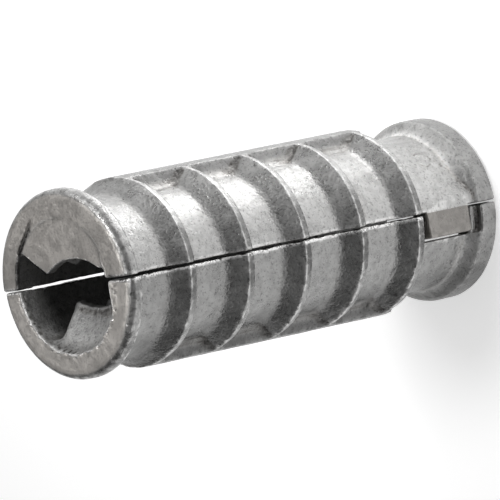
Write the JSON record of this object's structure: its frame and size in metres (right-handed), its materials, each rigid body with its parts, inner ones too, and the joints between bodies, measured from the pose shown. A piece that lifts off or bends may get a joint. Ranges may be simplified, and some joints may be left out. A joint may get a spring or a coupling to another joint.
{
  "type": "lag shield anchor",
  "caption": "Expansion shield for a lag screw: two ribbed half shells of cast zinc alloy that join at the entry end and spread at the tip.",
  "frame": {"origin": "centre of the flat face at the joined end, where the screw goes in", "axes": "+Z along the shield from the joined end to the tip, +X from the left half shell to the right one, -Y the side that the picture shows"},
  "size_m": [0.019, 0.019, 0.0508],
  "materials": {
    "cast_zinc": "satin"
  },
  "bodies": {
    "left_half": {"left_half_shell": "cast_zinc"},
    "right_half": {"right_half_shell": "cast_zinc"}
  },
  "joints": [
    {"name": "tip_spread", "type": "hinge", "parent": "left_half", "child": "right_half", "pos_m": [0, 0, 0], "axis": [0, 1, 0], "range_deg": [0, 5]}
  ]
}
